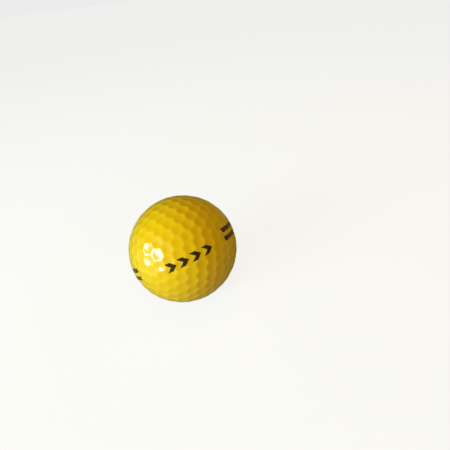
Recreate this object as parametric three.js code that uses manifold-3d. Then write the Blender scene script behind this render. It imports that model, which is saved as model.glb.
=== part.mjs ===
// Two-piece practice golf ball: a solid rubber core inside a dimpled ionomer cover
// moulded as two cups, with pad-printed marks on the cover.
// Millimetres, +Z up, origin at the centre of the ball.
import * as THREE from 'three';
import Module from 'manifold-3d';
import { ConvexHull } from 'three/addons/math/ConvexHull.js';
import { mergeVertices } from 'three/addons/utils/BufferGeometryUtils.js';

const wasm = await Module();
wasm.setup();

// Ball
const BALL_RADIUS = 42.67 / 2;       // over the ridges between the dimples
const COVER_INNER_RADIUS = 19.5;     // inside of the moulded cups
const CORE_RADIUS = 19.1;
const CORE_DETAIL = 7;               // subdivisions of the core's icosahedron
const SEAM_GAP = 0.3;                // clearance between the two cups along the parting line

// Dimples: 10 (a² + ab + b²) + 2 of them, one on every point of an icosahedral lattice
const LATTICE_A = 5;
const LATTICE_B = 2;
const DIMPLE_DEPTH = 0.27;
const BOWL_RING = 0.62;              // where a facet ring lies, from dimple centre to corner
const SPREAD_STEPS = 60;             // rounds of mutual repulsion that even out the spacing
const REPULSION_POWER = 6;
const SPREAD_RATE = 0.02;

// How the pattern is turned as the ball lies
const PATTERN_TURN_X = 0.5;          // degrees, about X, then Y, then Z
const PATTERN_TURN_Y = -18.6;
const PATTERN_TURN_Z = 52.5;

// Printed band: a great circle that carries the marks and the stripes
const BAND_TURN_X = 14.6;            // degrees, in the same order
const BAND_TURN_Y = -35;
const BAND_TURN_Z = -97.7;
const INK_GAP = 0.03;                // clearance between the ink and the facets under it
const INK_THICKNESS = 0.06;
const STRIPE_START = 51;             // degrees along the band from the mark side's middle
const STRIPE_WIDTH = 1.7;            // mm
const STRIPE_OFFSET = 1.6;           // mm from the band's middle line to a stripe's
const STRIPE_STEPS = 13;
const CHEVRON_COUNT = 4;
const CHEVRON_PITCH = 4.6;           // mm along the band
const CHEVRON_BAR = 2.1;             // mm, width of the slanted bar along the band
const CHEVRON_HEIGHT = 3.3;          // mm across the band
const CHEVRON_SWEEP = 1.9;           // mm that the tip runs ahead of the ends
const MARK_SHIFT_ALONG = 3;          // mm from the mark side's middle
const MARK_SHIFT_ACROSS = -1.25;

const COVER_YELLOW = 0xe6cf1e;
const INK_BLACK = 0x1c1a16;
const CORE_GREY = 0x5c6168;

const radians = THREE.MathUtils.degToRad;
const patternAttitude = new THREE.Euler(
  radians(PATTERN_TURN_X), radians(PATTERN_TURN_Y), radians(PATTERN_TURN_Z), 'ZYX');
const bandAttitude = new THREE.Euler(
  radians(BAND_TURN_X), radians(BAND_TURN_Y), radians(BAND_TURN_Z), 'ZYX');

const coverMaterial = new THREE.MeshStandardMaterial({ color: COVER_YELLOW, roughness: 0.25 });
const inkMaterial = new THREE.MeshStandardMaterial({ color: INK_BLACK, roughness: 0.35 });
const coreMaterial = new THREE.MeshStandardMaterial({ color: CORE_GREY, roughness: 0.8 });

// ---- Dimple centres ----

function cornersOf(geometry) {
  const position = geometry.getAttribute('position');
  return Array.from({ length: position.count },
    (_, index) => new THREE.Vector3().fromBufferAttribute(position, index));
}

function distinctDirections(vectors) {
  const distinct = [];
  for (const vector of vectors) {
    if (!distinct.some((other) => other.distanceTo(vector) < 1e-6)) distinct.push(vector.clone());
  }
  return distinct;
}

// The lattice points strictly inside one face, whose edge is the step (a, b)
function latticePointsInFace(cornerA, cornerB, cornerC) {
  const total = LATTICE_A ** 2 + LATTICE_A * LATTICE_B + LATTICE_B ** 2;
  const points = [];
  for (let i = -LATTICE_B; i <= LATTICE_A; i += 1) {
    for (let j = 0; j <= LATTICE_A + LATTICE_B; j += 1) {
      const weightB = (LATTICE_A + LATTICE_B) * i + LATTICE_B * j;
      const weightC = LATTICE_A * j - LATTICE_B * i;
      const weightA = total - weightB - weightC;
      if (Math.min(weightA, weightB, weightC) <= 0) continue;
      const point = cornerA.clone().multiplyScalar(weightA);
      point.addScaledVector(cornerB, weightB);
      point.addScaledVector(cornerC, weightC);
      points.push(point.normalize());
    }
  }
  return points;
}

function icosahedralLattice() {
  const faceCorners = cornersOf(new THREE.IcosahedronGeometry(1, 0));
  const points = distinctDirections(faceCorners);
  for (let first = 0; first < faceCorners.length; first += 3) {
    points.push(...latticePointsInFace(...faceCorners.slice(first, first + 3)));
  }
  return points;
}

// Points push each other apart, so the gnomonic stretch of the lattice goes away
function spreadEvenly(points) {
  const spacing = Math.sqrt(4 * Math.PI / points.length);
  const strength = spacing ** (REPULSION_POWER + 1);
  const away = new THREE.Vector3();
  for (let step = 0; step < SPREAD_STEPS; step += 1) {
    const pushes = points.map((point) => {
      const push = new THREE.Vector3();
      for (const other of points) {
        if (other === point) continue;
        away.subVectors(point, other);
        push.addScaledVector(away, strength / away.lengthSq() ** (REPULSION_POWER / 2 + 1));
      }
      return push.addScaledVector(point, -push.dot(point));
    });
    const largest = Math.max(...pushes.map((push) => push.length()));
    const rate = SPREAD_RATE * spacing / Math.max(1, largest / 2);
    points.forEach((point, index) => point.addScaledVector(pushes[index], rate).normalize());
  }
  return points;
}

// ---- Cells: the surface around each dimple, bounded by the ridges ----

function hullTriangles(points) {
  const indexOf = new Map(points.map((point, index) => [point, index]));
  return new ConvexHull().setFromPoints(points).faces.map((face) => {
    const start = face.edge;
    return [start, start.next, start.next.next].map((edge) => indexOf.get(edge.head().point));
  });
}

// A ridge corner lies midway between the three dimples of one hull triangle
function ridgeCorner(points, dimples) {
  const [a, b, c] = dimples.map((index) => points[index]);
  const direction = b.clone().sub(a).cross(c.clone().sub(a)).normalize();
  return { direction, dimples };
}

function dimpleCells(points) {
  const around = points.map(() => new Map());
  for (const dimples of hullTriangles(points)) {
    const corner = ridgeCorner(points, dimples);
    dimples.forEach((from, place) => {
      const right = dimples[(place + 1) % 3];
      const left = dimples[(place + 2) % 3];
      around[from].set(right, { corner, left });
    });
  }
  return points.map((centre, index) => {
    const corners = [];
    const neighbours = [];
    const [first] = around[index].keys();
    let neighbour = first;
    do {
      const { corner, left } = around[index].get(neighbour);
      corners.push(corner);
      neighbours.push(left);
      neighbour = left;
    } while (neighbour !== first);
    return { centre, corners, neighbours };
  });
}

// ---- Solids ----

function geometryFromTriangles(triangles) {
  const geometry = new THREE.BufferGeometry();
  const values = triangles.flat().flatMap((point) => point.toArray());
  geometry.setAttribute('position', new THREE.Float32BufferAttribute(values, 3));
  return geometry;
}

function solidFrom(geometry) {
  const bare = geometry.clone();
  bare.deleteAttribute('normal');
  bare.deleteAttribute('uv');
  const merged = mergeVertices(bare, 1e-4);
  return new wasm.Manifold(new wasm.Mesh({
    numProp: 3,
    vertProperties: merged.getAttribute('position').array,
    triVerts: new Uint32Array(merged.index.array),
  }));
}

function geometryFromSolid(solid) {
  const mesh = solid.getMesh();
  const geometry = new THREE.BufferGeometry();
  geometry.setAttribute('position', new THREE.BufferAttribute(mesh.vertProperties, 3));
  geometry.setIndex(new THREE.BufferAttribute(mesh.triVerts, 1));
  return geometry;
}

// One bowl: a fan at its floor and a band of facets up to the ridges
function bowlTriangles(cell, cornerPoint) {
  const floor = cell.centre.clone().multiplyScalar(BALL_RADIUS - DIMPLE_DEPTH);
  const ringDepth = DIMPLE_DEPTH * (1 - BOWL_RING ** 2);
  const rims = cell.corners.map(cornerPoint);
  const ring = cell.corners.map((corner) => cell.centre.clone()
    .lerp(corner.direction, BOWL_RING).setLength(BALL_RADIUS - ringDepth));
  return rims.flatMap((rim, place) => {
    const next = (place + 1) % rims.length;
    return [
      [floor, ring[place], ring[next]],
      [ring[place], rim, rims[next]],
      [ring[place], rims[next], ring[next]],
    ];
  });
}

function innerTriangles(cell, cornerPoint) {
  const centre = cell.centre.clone().multiplyScalar(COVER_INNER_RADIUS);
  const rims = cell.corners.map(cornerPoint);
  return rims.map((rim, place) => [centre, rims[(place + 1) % rims.length], rim]);
}

function wallTriangles(cell, place, outerPoint, innerPoint) {
  const start = cell.corners[place];
  const end = cell.corners[(place + 1) % cell.corners.length];
  return [
    [outerPoint(start), innerPoint(start), innerPoint(end)],
    [outerPoint(start), innerPoint(end), outerPoint(end)],
  ];
}

// A corner on the parting line moves off it, towards or away from the dimple that is
// alone on its side, so both cups keep half of the seam gap all along the zigzag
function seamShift(corner, cells, sideOf, side) {
  const sides = corner.dimples.map((index) => sideOf(cells[index]));
  const majority = Math.sign(sides[0] + sides[1] + sides[2]);
  const alone = corner.dimples[sides.indexOf(-majority)];
  if (alone === undefined) return new THREE.Vector3();
  const towards = cells[alone].centre.clone().sub(corner.direction);
  towards.addScaledVector(corner.direction, -towards.dot(corner.direction));
  return towards.setLength(side === -majority ? SEAM_GAP / 2 : -SEAM_GAP / 2);
}

// The cup on one side of the parting line, which follows the ridges round whole dimples
function coverCup(cells, sideOf, side) {
  const place = (radius) => (corner) => corner.direction.clone().multiplyScalar(radius)
    .add(seamShift(corner, cells, sideOf, side));
  const outerPoint = place(BALL_RADIUS);
  const innerPoint = place(COVER_INNER_RADIUS);
  const triangles = [];
  for (const cell of cells.filter((candidate) => sideOf(candidate) === side)) {
    triangles.push(...bowlTriangles(cell, outerPoint));
    triangles.push(...innerTriangles(cell, innerPoint));
    cell.neighbours.forEach((neighbour, corner) => {
      if (sideOf(cells[neighbour]) === side) return;
      triangles.push(...wallTriangles(cell, corner, outerPoint, innerPoint));
    });
  }
  return geometryFromTriangles(triangles);
}

// A thin shell that follows the facets of the cover, just clear of them
function inkShell(cells) {
  const outside = (corner) => corner.direction.clone().multiplyScalar(BALL_RADIUS);
  const skin = solidFrom(geometryFromTriangles(cells.flatMap((cell) => bowlTriangles(cell, outside))));
  const grow = (by) => skin.scale(1 + by / BALL_RADIUS);
  return grow(INK_GAP + INK_THICKNESS).subtract(grow(INK_GAP));
}

// A block through the cover whose outline on the ball is one printed shape: along and
// across are millimetres on the ball from the band's zero point
function printBlock({ along, across, length, width, sweep = 0, steps = 1, rows = 1 }) {
  const block = new THREE.BoxGeometry(1, 1, 1, 1, steps, rows);
  const position = block.getAttribute('position');
  const point = new THREE.Vector3();
  for (let index = 0; index < position.count; index += 1) {
    point.fromBufferAttribute(position, index);
    const radius = BALL_RADIUS * (1 + 0.08 * point.x);
    const ahead = sweep * (0.5 - 2 * Math.abs(point.z));
    const longitude = (along + point.y * length + ahead) / BALL_RADIUS;
    const latitude = (across + point.z * width) / BALL_RADIUS;
    point.set(Math.cos(latitude) * Math.cos(longitude), Math.cos(latitude) * Math.sin(longitude),
      Math.sin(latitude)).multiplyScalar(radius).applyEuler(bandAttitude);
    position.setXYZ(index, point.x, point.y, point.z);
  }
  return solidFrom(block);
}

function named(name, geometry, material) {
  const mesh = new THREE.Mesh(geometry, material);
  mesh.name = name;
  return mesh;
}

// ---- Sub-parts ----

function coreMesh() {
  return named('core', new THREE.IcosahedronGeometry(CORE_RADIUS, CORE_DETAIL), coreMaterial);
}

function coverMeshes(cells) {
  const pole = new THREE.Vector3(0, 1, (1 + Math.sqrt(5)) / 2).applyEuler(patternAttitude);
  const sideOf = (cell) => Math.sign(cell.centre.dot(pole));
  return [
    named('cover_upper_half', coverCup(cells, sideOf, 1), coverMaterial),
    named('cover_lower_half', coverCup(cells, sideOf, -1), coverMaterial),
  ];
}

// Two parallel stripes on each flank, as long before the quarter turn as after it
function stripeMeshes(shell) {
  const quarterTurn = BALL_RADIUS * Math.PI / 2;
  const length = 2 * (quarterTurn - BALL_RADIUS * radians(STRIPE_START));
  const meshes = [];
  for (const [flank, along] of [['right', quarterTurn], ['left', -quarterTurn]]) {
    for (const [row, across] of [['upper', STRIPE_OFFSET], ['lower', -STRIPE_OFFSET]]) {
      const block = printBlock({ along, across, length, width: STRIPE_WIDTH, steps: STRIPE_STEPS });
      const film = geometryFromSolid(shell.intersect(block));
      meshes.push(named(`stripe_${flank}_${row}`, film, inkMaterial));
    }
  }
  return meshes;
}

// A row of chevrons on two opposite sides of the ball
function chevronMeshes(shell) {
  const halfTurn = BALL_RADIUS * Math.PI;
  const meshes = [];
  for (const [side, middle] of [['front', MARK_SHIFT_ALONG], ['back', halfTurn + MARK_SHIFT_ALONG]]) {
    for (let count = 0; count < CHEVRON_COUNT; count += 1) {
      const along = middle + (count - (CHEVRON_COUNT - 1) / 2) * CHEVRON_PITCH;
      const block = printBlock({
        along, across: MARK_SHIFT_ACROSS, length: CHEVRON_BAR, width: CHEVRON_HEIGHT,
        sweep: CHEVRON_SWEEP, rows: 2,
      });
      const film = geometryFromSolid(shell.intersect(block));
      meshes.push(named(`chevron_${side}_${count + 1}`, film, inkMaterial));
    }
  }
  return meshes;
}

const dimples = spreadEvenly(icosahedralLattice()).map((point) => point.applyEuler(patternAttitude));
const cells = dimpleCells(dimples);
const shell = inkShell(cells);

const ball = new THREE.Group();
ball.add(coreMesh(), ...coverMeshes(cells), ...stripeMeshes(shell), ...chevronMeshes(shell));

export default ball;
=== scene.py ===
"""The looks of a two-piece practice golf ball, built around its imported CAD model.

Metres, +Z up, origin at the centre of the ball. The dimple pattern is read from the
CAD cups. Every shape that follows the dimples takes its radius from surface_radius.
"""
import math

import bmesh
import bpy
import numpy as np
from mathutils import Euler, Matrix, Vector


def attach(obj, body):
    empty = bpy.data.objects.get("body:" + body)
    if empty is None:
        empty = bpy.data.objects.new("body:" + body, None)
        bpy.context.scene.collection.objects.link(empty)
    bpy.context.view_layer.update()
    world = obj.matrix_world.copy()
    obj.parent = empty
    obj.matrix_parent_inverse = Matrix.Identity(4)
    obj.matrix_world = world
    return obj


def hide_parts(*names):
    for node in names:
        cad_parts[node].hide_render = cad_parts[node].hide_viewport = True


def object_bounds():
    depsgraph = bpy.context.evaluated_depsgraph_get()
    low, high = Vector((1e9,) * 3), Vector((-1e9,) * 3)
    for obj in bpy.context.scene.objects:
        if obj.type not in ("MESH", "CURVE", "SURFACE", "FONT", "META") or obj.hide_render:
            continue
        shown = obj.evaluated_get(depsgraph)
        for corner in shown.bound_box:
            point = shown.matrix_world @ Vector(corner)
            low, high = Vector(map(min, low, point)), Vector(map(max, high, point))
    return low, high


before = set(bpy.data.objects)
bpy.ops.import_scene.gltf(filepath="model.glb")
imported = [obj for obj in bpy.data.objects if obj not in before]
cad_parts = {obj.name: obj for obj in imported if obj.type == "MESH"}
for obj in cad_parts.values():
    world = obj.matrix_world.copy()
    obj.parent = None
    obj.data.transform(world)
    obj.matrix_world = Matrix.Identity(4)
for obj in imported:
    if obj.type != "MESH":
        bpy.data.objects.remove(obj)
cad_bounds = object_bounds()

MM = 0.001

# Reading the CAD model
RADIUS_SPREAD = 0.01 * MM         # the ridge corners lie within this of the outermost one
FLOOR_SPREAD = 0.02 * MM          # the floors lie within this of their depth
FLOOR_DIGITS = 4                  # decimals of a direction by which equal floors are known

# Dimples
DIMPLE_DEPTH = 0.27 * MM          # from a ridge corner to a dimple's floor
RIDGE_SHARPNESS = 260.0           # higher makes the ridges between the dimples sharper
SECTOR_STEPS = 12                 # rows of facets from a dimple's centre to its ridge
INNER_STEPS = 2                   # the same on the inside of the cups
RIDGE_CROWDING = 1.4              # above 1, the rows lie closer together at the ridge
MERGE_DIGITS = 6                  # decimals of a direction by which shared points are known
DIRECTIONS_AT_ONCE = 20000        # keeps the table of distances small in memory
SLOPE_STEP = 1e-4                 # radians between the points that give a slope

# Printed band, as in the CAD model
BAND_TURN = (14.6, -35.0, -97.7)  # degrees about X, then Y, then Z
STRIPE_START = 51.0               # degrees along the band
STRIPE_WIDTH = 1.7 * MM
STRIPE_OFFSET = 1.6 * MM
CHEVRON_COUNT = 4
CHEVRON_PITCH = 4.6 * MM
CHEVRON_BAR = 2.1 * MM
CHEVRON_HEIGHT = 3.3 * MM
CHEVRON_SWEEP = 1.9 * MM
MARK_SHIFT = (3.0 * MM, -1.25 * MM)
INK_FLOOR = 0.004 * MM            # where the ink film starts and ends above the cover
INK_TOP = 0.02 * MM
INK_STEP = 0.12 * MM              # size of the ink film's facets
EDGE_WOBBLE = 0.035 * MM
WOBBLE_WAVES = ((0.9, 1.1), (2.1, 2.7), (3.7, 0.6), (5.3, 4.2))  # radians per mm, phase
WOBBLE_PEAK = 2.6                 # about the highest sum of the waves
MARK_SEED_STEP = 1.7              # gives each chevron of a row its own edges

# Core
CORE_CLEARANCE = 0.05 * MM        # below the CAD core's surface
CORE_SUBDIVISIONS = 6
FLASH_HEIGHT = 0.03 * MM
FLASH_WIDTH = 0.012               # as a share of the core's radius

# Gloss
CLEAR_COAT_IOR = 1.5
PEEL_SIZE = 0.7 * MM
PEEL_DEPTH = 0.004 * MM

# Camera
CAMERA_DISTANCE = 111.8 * MM
CAMERA_ELEVATION = 44.1           # degrees above the surface
CAMERA_TURN = (4.82, -8.54, -16.46)  # degrees from looking straight at the ball
FIELD_OF_VIEW = 79.4
SENSOR_WIDTH = 36
NEAREST, FARTHEST = 1 * MM, 100

# Stage
FLOOR_HALF_WIDTH = 20.0
PALE = 0.84                       # glow of the floor and the backdrop in the picture
FLOOR_SEEN = (0.15, 0.16, 0.21)   # what the lamps add to the floor in the picture
FLOOR_LIT = (0.42, 0.39, 0.28)    # the floor that throws light back on the ball
GLOW_COLOUR = (1.0, 0.76, 0.15)   # light on the ball from all around
GLOW = 0.17
DAYLIGHT = (0.72, 1.0, 0.95)
PANE = (0.16, 0.19)
PANE_DISTANCE = 0.6
PANE_POWER = 1.6
FILL = (0.35, 0.35)
FILL_DISTANCE = 0.45


# ---- Dimple pattern ----

def vertices_of(node):
    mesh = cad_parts[node].data
    points = np.zeros(len(mesh.vertices) * 3)
    mesh.vertices.foreach_get("co", points)
    return points.reshape(-1, 3)


def unit(vectors):
    return vectors / np.linalg.norm(vectors, axis=-1, keepdims=True)


COVER_NODES = ("cover_upper_half", "cover_lower_half")
COVER_RADII = np.linalg.norm(np.vstack([vertices_of(node) for node in COVER_NODES]), axis=1)
BALL_RADIUS = float(np.median(COVER_RADII[COVER_RADII > COVER_RADII.max() - RADIUS_SPREAD]))
INNER_RADIUS = float(COVER_RADII.min())
CORE_RADIUS = float(np.linalg.norm(vertices_of("core"), axis=1).max())


def dimple_centres(node):
    """Directions of the dimples of one cup: its CAD vertices at the depth of the floors."""
    points = vertices_of(node)
    depth = BALL_RADIUS - np.linalg.norm(points, axis=1)
    floors = points[np.abs(depth - DIMPLE_DEPTH) < FLOOR_SPREAD]
    return np.unique(np.round(unit(floors), FLOOR_DIGITS), axis=0)


CUP_CENTRES = [dimple_centres(node) for node in COVER_NODES]
CENTRES = unit(np.vstack(CUP_CENTRES))
CUP_OF = np.repeat([0, 1], [len(centres) for centres in CUP_CENTRES])


def hull_triangles(points):
    """Index triples of the convex hull's faces, anticlockwise from outside."""
    hull = bmesh.new()
    for point in points:
        hull.verts.new(point)
    hull.verts.index_update()
    bmesh.ops.convex_hull(hull, input=list(hull.verts))
    triangles = [[vertex.index for vertex in face.verts] for face in hull.faces]
    hull.free()
    triangles = np.array(triangles)
    a, b, c = (points[triangles[:, corner]] for corner in range(3))
    inward = np.einsum("ij,ij->i", np.cross(b - a, c - a), a) < 0
    triangles[inward] = triangles[inward][:, ::-1]
    return triangles


def sectors():
    """Every wedge from a dimple's centre to one side of its ridge, as dimple, the ridge's
    two corners, and the dimple across the ridge."""
    around = [{} for _ in CENTRES]
    for triangle in hull_triangles(CENTRES):
        a, b, c = CENTRES[triangle]
        corner = unit(np.cross(b - a, c - a))
        for place in range(3):
            here, right, left = (triangle[(place + step) % 3] for step in range(3))
            around[here][right] = (corner, left)
    found = []
    for dimple, corners in enumerate(around):
        for corner, left in corners.values():
            found.append((dimple, corner, corners[left][0], left))
    return found


SECTORS = sectors()


def soft_distance(directions):
    """Squared chord to the nearest dimple centre, rounded off where two are as near."""
    result = np.empty(len(directions))
    for start in range(0, len(directions), DIRECTIONS_AT_ONCE):
        chunk = slice(start, start + DIRECTIONS_AT_ONCE)
        squared = 2 - 2 * (directions[chunk] @ CENTRES.T)
        nearest = squared.min(axis=1, keepdims=True)
        crowd = np.exp(-RIDGE_SHARPNESS * (squared - nearest)).sum(axis=1)
        result[chunk] = nearest[:, 0] - np.log(crowd) / RIDGE_SHARPNESS
    return result


CORNER_DISTANCE = soft_distance(np.array([sector[1] for sector in SECTORS])).max()


def dimple_level(directions):
    """0 at a dimple's floor and 1 at the highest ridge corner."""
    return np.clip(soft_distance(directions) / CORNER_DISTANCE, 0, 1)


def surface_radius(directions):
    return BALL_RADIUS - DIMPLE_DEPTH * (1 - dimple_level(directions))


def surface_normals(directions):
    """Outward normals of the dimpled surface, from its slope."""
    clear_of_poles = np.abs(directions[:, 2:]) < 0.9
    side = unit(np.cross(directions, np.where(clear_of_poles, (0, 0, 1), (1, 0, 0))))
    over = np.cross(directions, side)
    base = directions * surface_radius(directions)[:, None]
    along, across = (unit(directions + SLOPE_STEP * way) for way in (side, over))
    along = along * surface_radius(along)[:, None] - base
    across = across * surface_radius(across)[:, None] - base
    return unit(np.cross(along, across))


# ---- Meshes ----

def object_from(name, points, triangles):
    mesh = bpy.data.meshes.new(name)
    mesh.from_pydata(points.tolist(), [], [tuple(t) for t in triangles])
    mesh.validate()
    mesh.shade_smooth()
    piece = bpy.data.objects.new(name, mesh)
    bpy.context.scene.collection.objects.link(piece)
    return piece


def sector_lattice(steps):
    """Weights of centre, first and second corner for the points of one sector, and the
    triangles between them."""
    weights = [(1.0, 0.0, 0.0)]
    triangles = []
    for row in range(1, steps + 1):
        reach = 1 - (1 - row / steps) ** RIDGE_CROWDING
        for place in range(row + 1):
            share = place / row
            weights.append((1 - reach, reach * (1 - share), reach * share))
        above = row * (row - 1) // 2
        below = above + row
        for place in range(row):
            triangles.append((above + place, below + place, below + place + 1))
            if place < row - 1:
                triangles.append((above + place, below + place + 1, above + place + 1))
    return np.array(weights), np.array(triangles)


def sector_surface(cup_sectors, steps):
    """Directions and triangles of the sectors of one cup, with shared points merged."""
    weights, triangles = sector_lattice(steps)
    corners = np.array([(CENTRES[dimple], first, second)
                        for dimple, first, second, _ in cup_sectors])
    points = unit(np.einsum("vk,skx->svx", weights, corners)).reshape(-1, 3)
    offsets = np.arange(len(cup_sectors))[:, None, None] * len(weights)
    faces = (triangles[None] + offsets).reshape(-1, 3)
    rounded = np.round(points, MERGE_DIGITS)
    _, kept, merged = np.unique(rounded, axis=0, return_index=True, return_inverse=True)
    return points[kept], merged.reshape(-1)[faces], merged.reshape(len(cup_sectors), -1)


def ridge_points(merged, steps):
    """The last row of a sector's lattice: the points along its ridge."""
    return merged[:, -(steps + 1):]


def wall_triangles(outer_ridge, inner_ridge):
    """The wall of one ridge on the parting line, from the outer skin to the inner one."""
    per_inner = (len(outer_ridge) - 1) // (len(inner_ridge) - 1)
    triangles = []
    for place in range(len(inner_ridge) - 1):
        foot, next_foot = inner_ridge[place], inner_ridge[place + 1]
        tops = outer_ridge[place * per_inner:(place + 1) * per_inner + 1]
        triangles += [(tops[i], foot, tops[i + 1]) for i in range(per_inner)]
        triangles.append((tops[-1], foot, next_foot))
    return triangles


def cover_cup(name, cup):
    """One moulded cup: the dimpled skin, the smooth inside, and the wall between them that
    follows the ridges round whole dimples."""
    cup_sectors = [sector for sector in SECTORS if CUP_OF[sector[0]] == cup]
    outer, outer_faces, outer_merged = sector_surface(cup_sectors, SECTOR_STEPS)
    inner, inner_faces, inner_merged = sector_surface(cup_sectors, INNER_STEPS)
    outer_ridges = ridge_points(outer_merged, SECTOR_STEPS)
    inner_ridges = ridge_points(inner_merged, INNER_STEPS) + len(outer)
    walls = []
    for index, sector in enumerate(cup_sectors):
        if CUP_OF[sector[3]] != cup:
            walls += wall_triangles(outer_ridges[index], inner_ridges[index])
    points = np.vstack([outer * surface_radius(outer)[:, None], inner * INNER_RADIUS])
    faces = np.vstack([outer_faces, inner_faces[:, ::-1] + len(outer), np.array(walls)])
    piece = object_from(name, points, faces)
    # the cover material uses this level to paint shade: darker, more orange dimple floors
    level = piece.data.attributes.new("level", "FLOAT", "POINT")
    level.data.foreach_set("value", np.append(dimple_level(outer), np.zeros(len(inner))))
    normals = np.vstack([surface_normals(outer), -inner])
    piece.data.normals_split_custom_set_from_vertices(normals.tolist())
    return piece


def band_directions(along, across):
    """Directions of points given by their metres along and across the printed band."""
    longitude, latitude = along / BALL_RADIUS, across / BALL_RADIUS
    local = np.stack([np.cos(latitude) * np.cos(longitude),
                      np.cos(latitude) * np.sin(longitude), np.sin(latitude)], axis=-1)
    turn = Euler([math.radians(angle) for angle in BAND_TURN], "XYZ").to_matrix()
    return local @ np.array(turn).T


def wobble(along, seed):
    """A slow irregular wave, between about -1 and 1, for the edge of a print."""
    waves = (np.sin(along / MM * rate + phase + seed) for rate, phase in WOBBLE_WAVES)
    return sum(waves) / WOBBLE_PEAK


def ink_film(name, along, across, length, width, sweep, seed):
    """A film of ink that follows the dimples. Its outline is a rectangle on the band, or a
    chevron where sweep isn't 0, with slightly uneven edges."""
    columns = max(8, round(length / INK_STEP))
    rows = 2 * max(4, round(width / INK_STEP / 2))
    v, u = np.meshgrid(np.linspace(-0.5, 0.5, rows + 1), np.linspace(-0.5, 0.5, columns + 1))
    ahead = sweep * (0.5 - 2 * np.abs(v))
    x = along + u * length + ahead + EDGE_WOBBLE * 2 * u * wobble(v * width, seed)
    y = across + v * width + EDGE_WOBBLE * 2 * v * wobble(x, seed + 2)
    directions = band_directions(x, y).reshape(-1, 3)
    base = surface_radius(directions)
    top = directions * (base + INK_TOP)[:, None]
    bottom = directions * (base + INK_FLOOR)[:, None]
    index = np.arange(len(directions)).reshape(x.shape)
    a, b, c, d = index[:-1, :-1], index[1:, :-1], index[1:, 1:], index[:-1, 1:]
    quads = np.stack([a, b, c, d], axis=-1).reshape(-1, 4)
    rim = np.concatenate([index[:-1, 0], index[-1, :-1], index[:0:-1, -1], index[0, :0:-1]])
    after = np.roll(rim, -1)
    count = len(directions)
    side = np.stack([after, rim, rim + count, after + count], axis=-1)
    faces = np.vstack([quads, quads[:, ::-1] + count, side])
    return object_from(name, np.vstack([top, bottom]), faces)


def core_ball(name):
    """The ground rubber core, with the faint flash line that its mould left."""
    ball = bmesh.new()
    bmesh.ops.create_icosphere(ball, subdivisions=CORE_SUBDIVISIONS, radius=1)
    for vertex in ball.verts:
        flash = FLASH_HEIGHT * math.exp(-(vertex.co.z / FLASH_WIDTH) ** 2)
        vertex.co *= CORE_RADIUS - CORE_CLEARANCE + flash
    mesh = bpy.data.meshes.new(name)
    ball.to_mesh(mesh)
    ball.free()
    mesh.shade_smooth()
    piece = bpy.data.objects.new(name, mesh)
    bpy.context.scene.collection.objects.link(piece)
    return piece


# ---- Materials ----

class Nodes:
    """Short ways to add and link the nodes of one material."""

    def __init__(self, name):
        self.material = bpy.data.materials.new(name)
        self.material.use_nodes = True
        self.tree = self.material.node_tree
        self.shader = self.tree.nodes["Principled BSDF"]
        self.coordinates = self.add("ShaderNodeTexCoord").outputs["Object"]

    def add(self, kind, inputs=(), **settings):
        node = self.tree.nodes.new(kind)
        for key, value in settings.items():
            setattr(node, key, value)
        for socket, value in dict(inputs).items():
            if isinstance(value, bpy.types.NodeSocket):
                self.tree.links.new(value, node.inputs[socket])
            else:
                node.inputs[socket].default_value = value
        return node

    def link(self, output, socket):
        self.tree.links.new(output, self.shader.inputs[socket])

    def set(self, **values):
        for socket, value in values.items():
            self.shader.inputs[socket.replace("_", " ")].default_value = value

    def noise(self, size, detail=2.0, roughness=0.5):
        """Noise whose features are about size metres across."""
        inputs = {"Vector": self.coordinates, "Scale": 1 / size, "Detail": detail,
                  "Roughness": roughness}
        return self.add("ShaderNodeTexNoise", inputs).outputs["Fac"]

    def spread(self, value, low, high, to_low=0.0, to_high=1.0):
        inputs = {"Value": value, "From Min": low, "From Max": high, "To Min": to_low,
                  "To Max": to_high}
        return self.add("ShaderNodeMapRange", inputs).outputs["Result"]

    def mix(self, factor, first, second):
        node = self.add("ShaderNodeMix", data_type="RGBA")
        self.tree.links.new(factor, node.inputs["Factor"])
        for socket, value in (("A", first), ("B", second)):
            target = next(s for s in node.inputs if s.name == socket and s.type == "RGBA")
            if isinstance(value, bpy.types.NodeSocket):
                self.tree.links.new(value, target)
            else:
                target.default_value = (*value, 1)
        return next(s for s in node.outputs if s.type == "RGBA")

    def bump(self, height, distance, under=None):
        inputs = {"Height": height, "Distance": distance, "Strength": 1.0}
        if under is not None:
            inputs["Normal"] = under
        return self.add("ShaderNodeBump", inputs).outputs["Normal"]

    def orange_peel(self):
        return self.bump(self.noise(PEEL_SIZE, 1.5), PEEL_DEPTH)

    def use_normal(self, normal):
        self.link(normal, "Normal")
        self.link(normal, "Coat Normal")


def cover_material():
    """Yellow ionomer under a clear gloss coat, with painted shade that makes the dimple floors
    darker and more orange than the ridges, and the faint orange peel of a sprayed finish."""
    nodes = Nodes("yellow_cover")
    level = nodes.add("ShaderNodeAttribute", attribute_name="level").outputs["Fac"]
    cloud = nodes.spread(nodes.noise(9 * MM, 3), 0.35, 0.65)
    yellow = nodes.mix(cloud, (0.84, 0.60, 0.004), (0.88, 0.65, 0.008))
    # painted shade: the dimple floors get a darker, more orange colour than the ridges
    painted_dimple_shade = nodes.mix(level, (0.84, 0.585, 0.003), yellow)
    nodes.link(painted_dimple_shade, "Base Color")
    nodes.link(nodes.spread(nodes.noise(0.8 * MM, 2), 0.3, 0.7, 0.28, 0.4), "Roughness")
    peel = nodes.orange_peel()
    nodes.use_normal(nodes.bump(nodes.noise(2.4 * MM, 1), 0.012 * MM, under=peel))
    nodes.set(IOR=1.5, Specular_IOR_Level=0.4, Coat_Weight=1.0, Coat_Roughness=0.045,
              Coat_IOR=CLEAR_COAT_IOR, Subsurface_Weight=0.12, Subsurface_Scale=1.2 * MM)
    nodes.shader.inputs["Subsurface Radius"].default_value = (1.0, 0.7, 0.1)
    return nodes.material


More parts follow.
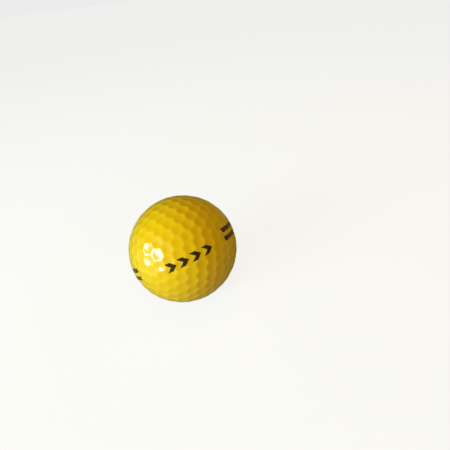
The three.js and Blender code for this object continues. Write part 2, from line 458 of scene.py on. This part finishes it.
def ink_material():
    """Black printing ink, thinner and browner in patches, under the same clear coat."""
    nodes = Nodes("black_ink")
    patches = nodes.spread(nodes.noise(0.5 * MM, 3, 0.6), 0.45, 0.75)
    nodes.link(nodes.mix(patches, (0.030, 0.019, 0.005), (0.070, 0.048, 0.010)), "Base Color")
    nodes.link(nodes.spread(nodes.noise(0.3 * MM, 2), 0.3, 0.7, 0.35, 0.5), "Roughness")
    nodes.use_normal(nodes.orange_peel())
    nodes.set(IOR=1.5, Specular_IOR_Level=0.1, Coat_Weight=1.0, Coat_Roughness=0.05,
              Coat_IOR=CLEAR_COAT_IOR)
    return nodes.material


def core_material():
    """Ground grey rubber with darker and lighter filler specks."""
    nodes = Nodes("core_rubber")
    specks = nodes.spread(nodes.noise(0.35 * MM, 2), 0.55, 0.72)
    cloud = nodes.spread(nodes.noise(6 * MM, 3), 0.3, 0.7)
    grey = nodes.mix(cloud, (0.10, 0.115, 0.135), (0.135, 0.15, 0.17))
    nodes.link(nodes.mix(specks, grey, (0.22, 0.23, 0.24)), "Base Color")
    nodes.link(nodes.spread(nodes.noise(1.2 * MM, 2), 0.3, 0.7, 0.7, 0.88), "Roughness")
    nodes.link(nodes.bump(nodes.noise(0.25 * MM, 3), 0.02 * MM), "Normal")
    return nodes.material


# ---- The ball ----

def finish_piece(piece, node, material):
    piece.data.materials.append(material)
    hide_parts(node)
    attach(piece, "root")


def build_cover():
    material = cover_material()
    for cup, node in enumerate(COVER_NODES):
        finish_piece(cover_cup("dimpled_" + node, cup), node, material)


def build_stripes(material):
    quarter = BALL_RADIUS * math.pi / 2
    length = 2 * (quarter - BALL_RADIUS * math.radians(STRIPE_START))
    flanks = (("right", quarter), ("left", -quarter))
    rows = (("upper", STRIPE_OFFSET), ("lower", -STRIPE_OFFSET))
    for flank, along in flanks:
        for row, across in rows:
            node = f"stripe_{flank}_{row}"
            film = ink_film("inked_" + node, along, across, length, STRIPE_WIDTH, 0, len(node))
            finish_piece(film, node, material)


def build_chevrons(material):
    sides = (("front", 0.0), ("back", BALL_RADIUS * math.pi))
    for side, middle in sides:
        for count in range(CHEVRON_COUNT):
            along = middle + MARK_SHIFT[0] + (count - (CHEVRON_COUNT - 1) / 2) * CHEVRON_PITCH
            node = f"chevron_{side}_{count + 1}"
            film = ink_film("inked_" + node, along, MARK_SHIFT[1], CHEVRON_BAR,
                            CHEVRON_HEIGHT, CHEVRON_SWEEP, count * MARK_SEED_STEP)
            finish_piece(film, node, material)


# ---- Camera, floor and light ----

def place_camera():
    elevation = math.radians(CAMERA_ELEVATION)
    back = Vector((0, -math.cos(elevation), math.sin(elevation)))
    aim = back.to_track_quat("Z", "Y").to_matrix()
    turn = Euler([math.radians(angle) for angle in CAMERA_TURN], "XYZ").to_matrix()
    data = bpy.data.cameras.new("camera")
    data.sensor_width = SENSOR_WIDTH
    data.lens = SENSOR_WIDTH / 2 / math.tan(math.radians(FIELD_OF_VIEW / 2))
    data.clip_start, data.clip_end = NEAREST, FARTHEST
    camera = bpy.data.objects.new("camera", data)
    camera.matrix_world = Matrix.Translation(back * CAMERA_DISTANCE) @ (aim @ turn).to_4x4()
    bpy.context.scene.collection.objects.link(camera)
    bpy.context.scene.camera = camera


def chosen_shader(tree, choice, where_false, where_true):
    """One of two shaders, picked by an output that is 0 or 1."""
    mix = tree.nodes.new("ShaderNodeMixShader")
    for place, output in enumerate((choice, where_false.outputs[0], where_true.outputs[0])):
        tree.links.new(output, mix.inputs[place])
    return mix


def camera_only(tree, seen, unseen):
    """A shader that looks one way to the camera and another way to every other ray."""
    path = tree.nodes.new("ShaderNodeLightPath")
    return chosen_shader(tree, path.outputs["Is Camera Ray"], unseen, seen)


def floor_shader(tree, base, glow):
    """A matt surface of the base colour that also gives off some white light."""
    shader = tree.nodes.new("ShaderNodeBsdfPrincipled")
    shader.inputs["Base Color"].default_value = (*base, 1)
    shader.inputs["Roughness"].default_value = 0.8
    shader.inputs["Specular IOR Level"].default_value = 0.0
    shader.inputs["Emission Color"].default_value = (1, 1, 1, 1)
    shader.inputs["Emission Strength"].default_value = glow
    return shader


def build_floor():
    """A plain pale floor, clear from below so that the ball's underside can be seen."""
    height = cad_bounds[0].z
    ways = ((-1, -1), (1, -1), (1, 1), (-1, 1))
    corners = [(x * FLOOR_HALF_WIDTH, y * FLOOR_HALF_WIDTH, height) for x, y in ways]
    mesh = bpy.data.meshes.new("floor")
    mesh.from_pydata(corners, [], [(0, 1, 2, 3)])
    floor = bpy.data.objects.new("floor", mesh)
    bpy.context.scene.collection.objects.link(floor)
    material = bpy.data.materials.new("floor")
    material.use_nodes = True
    tree = material.node_tree
    tree.nodes.clear()
    seen = floor_shader(tree, FLOOR_SEEN, PALE)
    unseen = floor_shader(tree, FLOOR_LIT, 0.0)
    top = camera_only(tree, seen, unseen)
    underside = tree.nodes.new("ShaderNodeBsdfTransparent")
    backfacing = tree.nodes.new("ShaderNodeNewGeometry").outputs["Backfacing"]
    look = chosen_shader(tree, backfacing, top, underside)
    output = tree.nodes.new("ShaderNodeOutputMaterial")
    tree.links.new(look.outputs[0], output.inputs["Surface"])
    mesh.materials.append(material)


def area_light(name, direction, distance, size, power, colour):
    """A rectangular light that faces the ball from the given direction."""
    data = bpy.data.lights.new(name, "AREA")
    data.shape = "RECTANGLE"
    data.size, data.size_y = size
    data.energy = power
    data.color = colour
    light = bpy.data.objects.new(name, data)
    away = Vector(direction).normalized()
    light.location = away * distance
    light.rotation_euler = away.to_track_quat("Z", "Y").to_euler()
    bpy.context.scene.collection.objects.link(light)
    return light


def window_pane(name, direction):
    area_light(name, direction, PANE_DISTANCE, PANE, PANE_POWER, DAYLIGHT)


def fill_light(name, direction, power, colour):
    """A warm fill without a highlight, as a large dim wall would give."""
    light = area_light(name, direction, FILL_DISTANCE, FILL, power, colour)
    light.visible_glossy = False


def background(tree, colour, strength):
    shader = tree.nodes.new("ShaderNodeBackground")
    shader.inputs["Color"].default_value = (*colour, 1)
    shader.inputs["Strength"].default_value = strength
    return shader


def build_backdrop():
    """Plain and pale in the picture, with a dim warm glow on the ball from all around."""
    world = bpy.data.worlds.new("studio")
    world.use_nodes = True
    tree = world.node_tree
    tree.nodes.clear()
    seen = background(tree, (1, 1, 1), PALE)
    unseen = background(tree, GLOW_COLOUR, GLOW)
    output = tree.nodes.new("ShaderNodeOutputWorld")
    look = camera_only(tree, seen, unseen)
    tree.links.new(look.outputs[0], output.inputs["Surface"])
    bpy.context.scene.world = world


def light_scene():
    """Daylight from a window with two panes, and warm fills from the front and above."""
    window_pane("window_near", (-0.847, -0.432, 0.309))
    window_pane("window_far", (-0.937, -0.165, 0.309))
    fill_light("front_fill", (-0.68, -0.68, 0.26), 0.75, (1.0, 0.6, 0.1))
    fill_light("top_fill", (0.2, -0.1, 1.0), 0.76, (1.0, 0.69, 0.02))
    bpy.context.scene.view_settings.view_transform = "Standard"


place_camera()
build_cover()
ink = ink_material()
build_stripes(ink)
build_chevrons(ink)
finish_piece(core_ball("ground_core"), "core", core_material())
build_floor()
build_backdrop()
light_scene()
